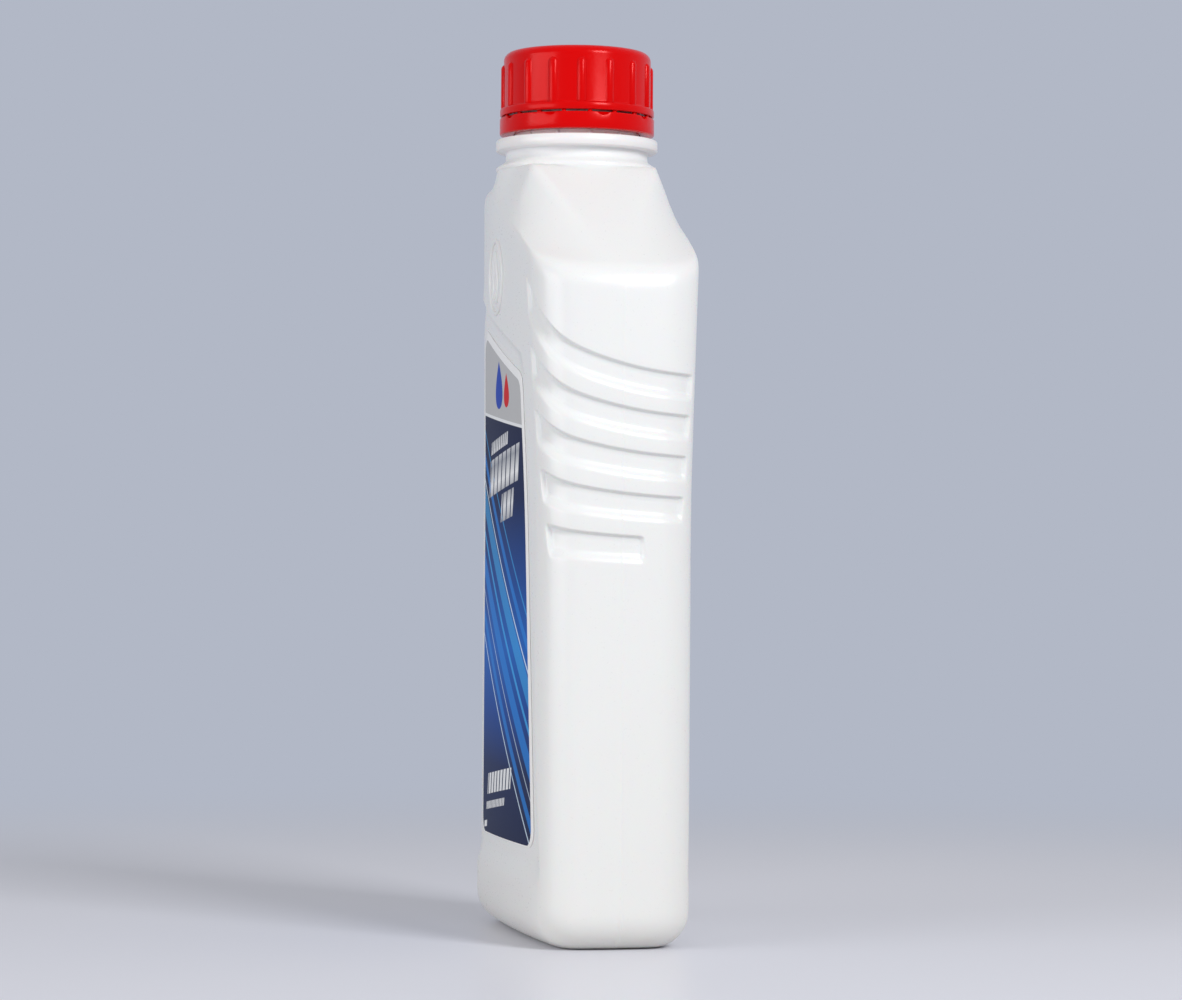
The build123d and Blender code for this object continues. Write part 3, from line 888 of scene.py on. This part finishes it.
border_finish, _, _ = add_material("white film", (0.9, 0.9, 0.9), 0.3, IOR=1.5)
label = add_piece("printed_label", [skin_mesh(np.array(film_rings))], border_finish,
                  "bottle_body", "front_label")
label.data.materials.append(print_finish)
printed_from = (len(film_rings) - len(shares) - 1) * len(edge)
for index, face in enumerate(label.data.polygons):
    face.material_index = int(min(face.vertices) >= printed_from)


# The tamper band: a ring of red polypropylene left on the neck when the cap is first turned. The
# outer part of its top edge has half-moon notches. The bridges that join it to a new cap are on it.
band_bottom, band_top, band_radius, band_inner = 231.7, 236.5, 22.57, 20.37
ledge_top, ledge_radius = 233.3, 18.55
notch_count, notch_radius, notch_depth, notch_start = 9, 2.2, 0.9, 7.6
bridge_count, bridge_reach, bridge_width, bridge_rise, bridge_inset = 18, 1.0, 1.2, 0.5, 1.1

around_band = np.linspace(0, 2 * math.pi, 432, endpoint=False)
notch_apart = 2 * math.pi / notch_count
from_notch = np.mod(around_band - math.radians(notch_start) + notch_apart / 2, notch_apart) - notch_apart / 2
arch = np.clip(1 - (from_notch * band_radius / notch_radius) ** 2, 0, None)
notch = np.clip(notch_radius * np.sqrt(arch) - notch_radius + notch_depth, 0, None)


def band_ring(radius, height, cut=0.0):
    """A ring of the band's section; a cut of 1 follows the notches."""
    x, y = neck_x + radius * np.cos(around_band), radius * np.sin(around_band)
    return np.stack([x, y, height - cut * notch], -1)


band_profile = [(ledge_radius, band_bottom + 0.2), (ledge_radius + 0.2, band_bottom),
                (band_radius - 0.4, band_bottom), (band_radius - 0.12, band_bottom + 0.1),
                (band_radius, band_bottom + 0.4), (band_radius, band_bottom + 2.4)]
band_rings = [band_ring(*point) for point in band_profile]
band_rings += [band_ring(band_radius - back, band_top - fall, 1.0) for back, fall in
               ((0.0, 0.35), (0.04, 0.15), (0.15, 0.04), (0.35, 0.0), (0.8, 0.0))]
band_rings += [band_ring(band_radius - back, band_top - fall) for back, fall in
               ((0.85, 0.0), (1.85, 0.0), (2.05, 0.04), (2.2, 0.25))]
band_rings += [band_ring(band_inner, ledge_top + 0.2), band_ring(band_inner - 0.1, ledge_top),
               band_ring(ledge_radius + 0.2, ledge_top), band_ring(ledge_radius, ledge_top - 0.2),
               band_rings[0]]

red, tree, shader = add_material("red polypropylene", (0.66, 0.0002, 0.0003), 0.15, IOR=1.5,
                                 Specular_IOR_Level=0.35, Specular_Tint=(1.0, 0.3, 0.3, 1.0))
place = add_node(tree, "TexCoord").outputs["Object"]
grain = add_node(tree, "Group", {"Place": place, "Scale": 1200.0, "Least Roughness": 0.16,
                                 "Most Roughness": 0.24}, node_tree=moulded_grain)
tree.links.new(grain.outputs["Roughness"], shader.inputs["Roughness"])
relief = add_node(tree, "Bump", {"Height": grain.outputs["Height"], "Strength": 0.15, "Distance": 0.00005})
tree.links.new(relief.outputs["Normal"], shader.inputs["Normal"])


def bridge_mesh():
    """A small block between the band and a new cap, made beside the origin's axis."""
    box = bmesh.new()
    bmesh.ops.create_cube(box, size=1.0)
    size = Vector((bridge_reach, bridge_width, 2 * bridge_rise)) * mm
    middle = Vector((band_radius - bridge_inset, 0, band_top)) * mm
    for corner in box.verts:
        corner.co = Vector(a * b for a, b in zip(corner.co, size)) + middle
    mesh = bpy.data.meshes.new("bridge")
    box.to_mesh(mesh)
    box.free()
    return mesh


bridges = ring_of_copies(bridge_mesh(), bridge_count, notch_start + 180 / bridge_count, red)
add_piece("tamper_ring", [skin_mesh(np.array(band_rings), closed_ends=False), bridges], red,
          "bottle_body", "tamper_band")


# The screw cap: glossy red polypropylene, hollow, with a flange along its lower edge, sixteen upright
# grip ribs and a thread inside. It turns on the bottle's neck and lifts off.
cap_bottom, cap_top, cap_radius, flange_radius, flange_top = 237.1, 255.9, 21.5, 22.5, 239.3
cap_inner, cap_ceiling, cap_rounding = 19.75, 254.3, 2.5
dish_radius, dish_depth, gate_inner, gate_radius, gate_depth = 17.2, 0.3, 1.1, 1.4, 0.25
rib_count, rib_start, rib_radius, rib_reach, rib_top, rib_sink = 16, -9.0, 1.6, 20.7, 252.5, 1.0

around_cap = np.linspace(0, 2 * math.pi, 240, endpoint=False)


def cap_ring(radius, height):
    """A ring of the cap's section."""
    x, y = neck_x + radius * np.cos(around_cap), radius * np.sin(around_cap)
    return np.stack([x, y, np.full_like(around_cap, height)], -1)


cap_profile = [(1.0, cap_ceiling), (cap_inner - 0.6, cap_ceiling), (cap_inner, cap_ceiling - 0.6),
               (cap_inner, cap_bottom + 0.3), (cap_inner + 0.3, cap_bottom),
               (flange_radius - 0.35, cap_bottom), (flange_radius - 0.1, cap_bottom + 0.1),
               (flange_radius, cap_bottom + 0.35), (flange_radius, flange_top - 0.4),
               (flange_radius - 0.12, flange_top - 0.1), (flange_radius - 0.4, flange_top),
               (cap_radius + 0.25, flange_top + 0.03), (cap_radius + 0.05, flange_top + 0.15),
               (cap_radius, flange_top + 0.5)]
for turn in np.radians(np.linspace(0, 90, 12)):
    inset, drop = cap_rounding * (1 - math.cos(turn)), cap_rounding * (1 - math.sin(turn))
    cap_profile.append((cap_radius - inset, cap_top - drop))
dish_floor = cap_top - dish_depth
cap_profile += [(dish_radius, cap_top), (dish_radius - 0.3, cap_top - 0.05),
                (dish_radius - 0.6, dish_floor + 0.05), (dish_radius - 1.0, dish_floor), (8.0, dish_floor),
                (gate_radius, dish_floor), (gate_inner, dish_floor - gate_depth)]
cap_shell = skin_mesh(np.array([cap_ring(*point) for point in cap_profile]))
rib = capsule(rib_radius, rib_reach, flange_top - rib_sink, rib_top)
ribs = ring_of_copies(rib, rib_count, rib_start, red)
cap_thread = thread(wall_radius=cap_inner, crest_radius=18.5, start_height=241.0, turns=1.5, pitch=4.0,
                    root_half=0.85, crest_half=0.35, start_degrees=56.0)
add_piece("ribbed_cap", [cap_shell, ribs, cap_thread], red, "cap_body", "screw_cap")


# The liner: a disc of white foam, held in the cap's top, which seals on the neck's lip. It is a
# plain disc, so the solid itself is shown, with the look of fine closed cells.
foam, tree, shader = add_material("liner foam", (0.76, 0.76, 0.74), 0.85)
place = add_node(tree, "TexCoord")
cells = add_node(tree, "TexVoronoi", {"Vector": place.outputs["Object"], "Scale": 2500.0})
relief = add_node(tree, "Bump", {"Height": cells.outputs["Distance"], "Strength": 0.4, "Distance": 0.0001})
tree.links.new(relief.outputs["Normal"], shader.inputs["Normal"])
nodes["cap_liner"].data.materials.clear()
nodes["cap_liner"].data.materials.append(foam)
